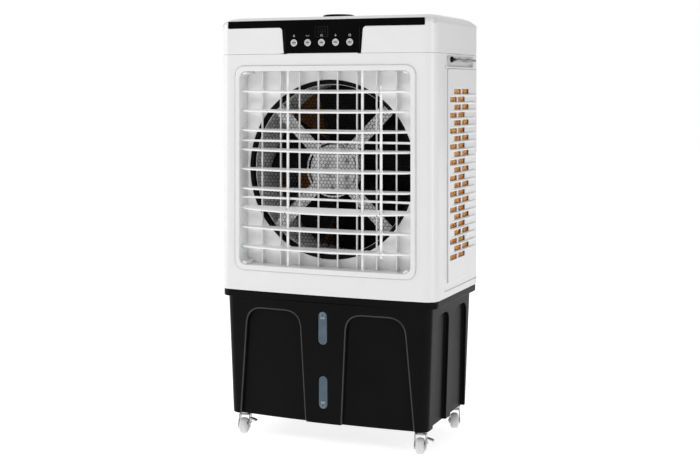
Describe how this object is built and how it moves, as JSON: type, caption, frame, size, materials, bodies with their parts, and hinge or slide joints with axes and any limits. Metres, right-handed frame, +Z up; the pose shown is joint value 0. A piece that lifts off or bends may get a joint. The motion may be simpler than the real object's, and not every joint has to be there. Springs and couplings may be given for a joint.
{
  "type": "evaporative cooler",
  "caption": "Free-standing evaporative air cooler: white louvred housing with swing vanes and fan over a black water tank, on braked swivel casters.",
  "frame": {"origin": "on the floor, at the centre of the outer box seen from above", "axes": "+X to the right seen from the front, +Y to the rear, +Z up"},
  "size_m": [0.622, 0.3876, 1.11],
  "materials": {
    "white_plastic": "moulded ABS, semi-gloss",
    "wheel_white": "moulded nylon, satin",
    "black_plastic": "moulded, fine satin",
    "gloss_black": "high gloss",
    "button_silver": "satin silver",
    "handle_steel": "polished rod",
    "motor_silver": "satin",
    "zinc": "zinc plated",
    "pad_paper": "corrugated cellulose, matt",
    "window_clear": "clear moulding",
    "pump_grey": "satin",
    "board_green": "lacquered board"
  },
  "bodies": {
    "cabinet": {"tank": "black_plastic", "tank_window_lower": "window_clear", "tank_window_upper": "window_clear", "upper_housing": "white_plastic", "side_handle_left": "handle_steel", "side_handle_right": "handle_steel", "front_grille": "white_plastic", "swing_motor": "pump_grey", "fan_shroud": "white_plastic", "fan_guard": "black_plastic", "motor_bracket": "motor_silver", "fan_motor": "motor_silver", "pad_frame_right": "white_plastic", "pad_frame_left": "white_plastic", "pad_frame_rear": "white_plastic", "cooling_pad_right": "pad_paper", "cooling_pad_left": "pad_paper", "cooling_pad_rear": "pad_paper", "water_distributor": "black_plastic", "water_pump": "pump_grey", "top_cover": "black_plastic", "control_panel": "gloss_black", "control_board": "board_green"},
    "drain_plug": {"drain_plug": "black_plastic"},
    "fan": {"fan_impeller": "black_plastic"},
    "fill_cap": {"fill_cap": "black_plastic"},
    "caster_fl": {"caster_fork_fl": "zinc"},
    "wheel_fl": {"caster_wheel_fl": "wheel_white"},
    "brake_fl": {"caster_brake_fl": "zinc"},
    "caster_fr": {"caster_fork_fr": "zinc"},
    "wheel_fr": {"caster_wheel_fr": "wheel_white"},
    "brake_fr": {"caster_brake_fr": "zinc"},
    "caster_bl": {"caster_fork_bl": "zinc"},
    "wheel_bl": {"caster_wheel_bl": "wheel_white"},
    "caster_br": {"caster_fork_br": "zinc"},
    "wheel_br": {"caster_wheel_br": "wheel_white"},
    "louver_blade_1": {"louver_blade_1": "white_plastic"},
    "louver_blade_2": {"louver_blade_2": "white_plastic"},
    "louver_blade_3": {"louver_blade_3": "white_plastic"},
    "louver_blade_4": {"louver_blade_4": "white_plastic"},
    "louver_blade_5": {"louver_blade_5": "white_plastic"},
    "louver_blade_6": {"louver_blade_6": "white_plastic"},
    "louver_blade_7": {"louver_blade_7": "white_plastic"},
    "louver_blade_8": {"louver_blade_8": "white_plastic"},
    "louver_blade_9": {"louver_blade_9": "white_plastic"},
    "louver_link": {"louver_link": "white_plastic"},
    "vane_1": {"vane_1": "white_plastic"},
    "vane_2": {"vane_2": "white_plastic"},
    "vane_3": {"vane_3": "white_plastic"},
    "vane_4": {"vane_4": "white_plastic"},
    "vane_5": {"vane_5": "white_plastic"},
    "vane_6": {"vane_6": "white_plastic"},
    "vane_7": {"vane_7": "white_plastic"},
    "vane_8": {"vane_8": "white_plastic"},
    "vane_link": {"vane_link": "black_plastic"},
    "button_1": {"button_1": "button_silver"},
    "button_2": {"button_2": "button_silver"},
    "button_3": {"button_3": "button_silver"},
    "button_4": {"button_4": "button_silver"},
    "button_5": {"button_5": "button_silver"}
  },
  "joints": [
    {"name": "drain_plug_pull", "type": "slide", "parent": "cabinet", "child": "drain_plug", "axis": [0, 1, 0], "range_m": [0, 0.02]},
    {"name": "swivel_fl", "type": "hinge", "parent": "cabinet", "child": "caster_fl", "pos_m": [-0.248, -0.132, 0.05], "axis": [0, 0, 1], "continuous": true},
    {"name": "roll_fl", "type": "hinge", "parent": "caster_fl", "child": "wheel_fl", "pos_m": [-0.24509, -0.14569, 0.021], "axis": [-0.9781, -0.2079, 0], "continuous": true},
    {"name": "brake_press_fl", "type": "hinge", "parent": "caster_fl", "child": "brake_fl", "pos_m": [-0.22818, -0.14108, 0.029], "axis": [-0.2079, 0.9781, 0], "range_deg": [0, 15]},
    {"name": "swivel_fr", "type": "hinge", "parent": "cabinet", "child": "caster_fr", "pos_m": [0.248, -0.132, 0.05], "axis": [0, 0, 1], "continuous": true},
    {"name": "roll_fr", "type": "hinge", "parent": "caster_fr", "child": "wheel_fr", "pos_m": [0.25091, -0.14569, 0.021], "axis": [-0.9781, -0.2079, 0], "continuous": true},
    {"name": "brake_press_fr", "type": "hinge", "parent": "caster_fr", "child": "brake_fr", "pos_m": [0.26782, -0.14108, 0.029], "axis": [-0.2079, 0.9781, 0], "range_deg": [0, 15]},
    {"name": "swivel_bl", "type": "hinge", "parent": "cabinet", "child": "caster_bl", "pos_m": [-0.248, 0.132, 0.05], "axis": [0, 0, 1], "continuous": true},
    {"name": "roll_bl", "type": "hinge", "parent": "caster_bl", "child": "wheel_bl", "pos_m": [-0.24253, 0.11911, 0.021], "axis": [-0.9205, -0.3907, 0], "continuous": true},
    {"name": "swivel_br", "type": "hinge", "parent": "cabinet", "child": "caster_br", "pos_m": [0.248, 0.132, 0.05], "axis": [0, 0, 1], "continuous": true},
    {"name": "roll_br", "type": "hinge", "parent": "caster_br", "child": "wheel_br", "pos_m": [0.25347, 0.11911, 0.021], "axis": [-0.9205, -0.3907, 0], "continuous": true},
    {"name": "louver_blade_1_tilt", "type": "hinge", "parent": "cabinet", "child": "louver_blade_1", "pos_m": [0, -0.17, 0.502], "axis": [1, 0, 0], "range_deg": [-30, 20]},
    {"name": "louver_blade_2_tilt", "type": "hinge", "parent": "cabinet", "child": "louver_blade_2", "pos_m": [0, -0.17, 0.5529], "axis": [1, 0, 0], "range_deg": [-30, 20]},
    {"name": "louver_blade_3_tilt", "type": "hinge", "parent": "cabinet", "child": "louver_blade_3", "pos_m": [0, -0.17, 0.6038], "axis": [1, 0, 0], "range_deg": [-30, 20]},
    {"name": "louver_blade_4_tilt", "type": "hinge", "parent": "cabinet", "child": "louver_blade_4", "pos_m": [0, -0.17, 0.6547], "axis": [1, 0, 0], "range_deg": [-30, 20]},
    {"name": "louver_blade_5_tilt", "type": "hinge", "parent": "cabinet", "child": "louver_blade_5", "pos_m": [0, -0.17, 0.7056], "axis": [1, 0, 0], "range_deg": [-30, 20]},
    {"name": "louver_blade_6_tilt", "type": "hinge", "parent": "cabinet", "child": "louver_blade_6", "pos_m": [0, -0.17, 0.7565], "axis": [1, 0, 0], "range_deg": [-30, 20]},
    {"name": "louver_blade_7_tilt", "type": "hinge", "parent": "cabinet", "child": "louver_blade_7", "pos_m": [0, -0.17, 0.8074], "axis": [1, 0, 0], "range_deg": [-30, 20]},
    {"name": "louver_blade_8_tilt", "type": "hinge", "parent": "cabinet", "child": "louver_blade_8", "pos_m": [0, -0.17, 0.8583], "axis": [1, 0, 0], "range_deg": [-30, 20]},
    {"name": "louver_blade_9_tilt", "type": "hinge", "parent": "cabinet", "child": "louver_blade_9", "pos_m": [0, -0.17, 0.9092], "axis": [1, 0, 0], "range_deg": [-30, 20]},
    {"name": "louver_link_pin", "type": "hinge", "parent": "louver_blade_1", "child": "louver_link", "pos_m": [0.158, -0.1768, 0.502], "axis": [1, 0, 0], "range_deg": [-20, 30]},
    {"name": "vane_1_swing", "type": "hinge", "parent": "cabinet", "child": "vane_1", "pos_m": [-0.189, -0.149, 0.706], "axis": [0, 0, 1], "range_deg": [-50, 15]},
    {"name": "vane_2_swing", "type": "hinge", "parent": "cabinet", "child": "vane_2", "pos_m": [-0.135, -0.149, 0.706], "axis": [0, 0, 1], "range_deg": [-50, 15]},
    {"name": "vane_3_swing", "type": "hinge", "parent": "cabinet", "child": "vane_3", "pos_m": [-0.081, -0.149, 0.706], "axis": [0, 0, 1], "range_deg": [-50, 15]},
    {"name": "vane_4_swing", "type": "hinge", "parent": "cabinet", "child": "vane_4", "pos_m": [-0.027, -0.149, 0.706], "axis": [0, 0, 1], "range_deg": [-50, 15]},
    {"name": "vane_5_swing", "type": "hinge", "parent": "cabinet", "child": "vane_5", "pos_m": [0.027, -0.149, 0.706], "axis": [0, 0, 1], "range_deg": [-50, 15]},
    {"name": "vane_6_swing", "type": "hinge", "parent": "cabinet", "child": "vane_6", "pos_m": [0.081, -0.149, 0.706], "axis": [0, 0, 1], "range_deg": [-50, 15]},
    {"name": "vane_7_swing", "type": "hinge", "parent": "cabinet", "child": "vane_7", "pos_m": [0.135, -0.149, 0.706], "axis": [0, 0, 1], "range_deg": [-50, 15]},
    {"name": "vane_8_swing", "type": "hinge", "parent": "cabinet", "child": "vane_8", "pos_m": [0.189, -0.149, 0.706], "axis": [0, 0, 1], "range_deg": [-50, 15]},
    {"name": "vane_link_pin", "type": "hinge", "parent": "vane_1", "child": "vane_link", "pos_m": [-0.19447, -0.13396, 0.97], "axis": [0, 0, 1], "range_deg": [-15, 50]},
    {"name": "fan_spin", "type": "hinge", "parent": "cabinet", "child": "fan", "pos_m": [0, -0.02, 0.706], "axis": [0, 1, 0], "continuous": true},
    {"name": "button_1_press", "type": "slide", "parent": "cabinet", "child": "button_1", "axis": [0, 1, 0], "range_m": [0, 0.0015], "stiffness_N_per_m": 400},
    {"name": "button_2_press", "type": "slide", "parent": "cabinet", "child": "button_2", "axis": [0, 1, 0], "range_m": [0, 0.0015], "stiffness_N_per_m": 400},
    {"name": "button_3_press", "type": "slide", "parent": "cabinet", "child": "button_3", "axis": [0, 1, 0], "range_m": [0, 0.0015], "stiffness_N_per_m": 400},
    {"name": "button_4_press", "type": "slide", "parent": "cabinet", "child": "button_4", "axis": [0, 1, 0], "range_m": [0, 0.0015], "stiffness_N_per_m": 400},
    {"name": "button_5_press", "type": "slide", "parent": "cabinet", "child": "button_5", "axis": [0, 1, 0], "range_m": [0, 0.0015], "stiffness_N_per_m": 400},
    {"name": "fill_cap_lift", "type": "slide", "parent": "cabinet", "child": "fill_cap", "axis": [0, 0, 1], "range_m": [0, 0.03]}
  ],
  "couplings": [
    {"joint": "louver_blade_2_tilt", "follows": "louver_blade_1_tilt", "ratio": 1},
    {"joint": "louver_blade_3_tilt", "follows": "louver_blade_1_tilt", "ratio": 1},
    {"joint": "louver_blade_4_tilt", "follows": "louver_blade_1_tilt", "ratio": 1},
    {"joint": "louver_blade_5_tilt", "follows": "louver_blade_1_tilt", "ratio": 1},
    {"joint": "louver_blade_6_tilt", "follows": "louver_blade_1_tilt", "ratio": 1},
    {"joint": "louver_blade_7_tilt", "follows": "louver_blade_1_tilt", "ratio": 1},
    {"joint": "louver_blade_8_tilt", "follows": "louver_blade_1_tilt", "ratio": 1},
    {"joint": "louver_blade_9_tilt", "follows": "louver_blade_1_tilt", "ratio": 1},
    {"joint": "louver_link_pin", "follows": "louver_blade_1_tilt", "ratio": -1},
    {"joint": "vane_2_swing", "follows": "vane_1_swing", "ratio": 1},
    {"joint": "vane_3_swing", "follows": "vane_1_swing", "ratio": 1},
    {"joint": "vane_4_swing", "follows": "vane_1_swing", "ratio": 1},
    {"joint": "vane_5_swing", "follows": "vane_1_swing", "ratio": 1},
    {"joint": "vane_6_swing", "follows": "vane_1_swing", "ratio": 1},
    {"joint": "vane_7_swing", "follows": "vane_1_swing", "ratio": 1},
    {"joint": "vane_8_swing", "follows": "vane_1_swing", "ratio": 1},
    {"joint": "vane_link_pin", "follows": "vane_1_swing", "ratio": -1}
  ]
}
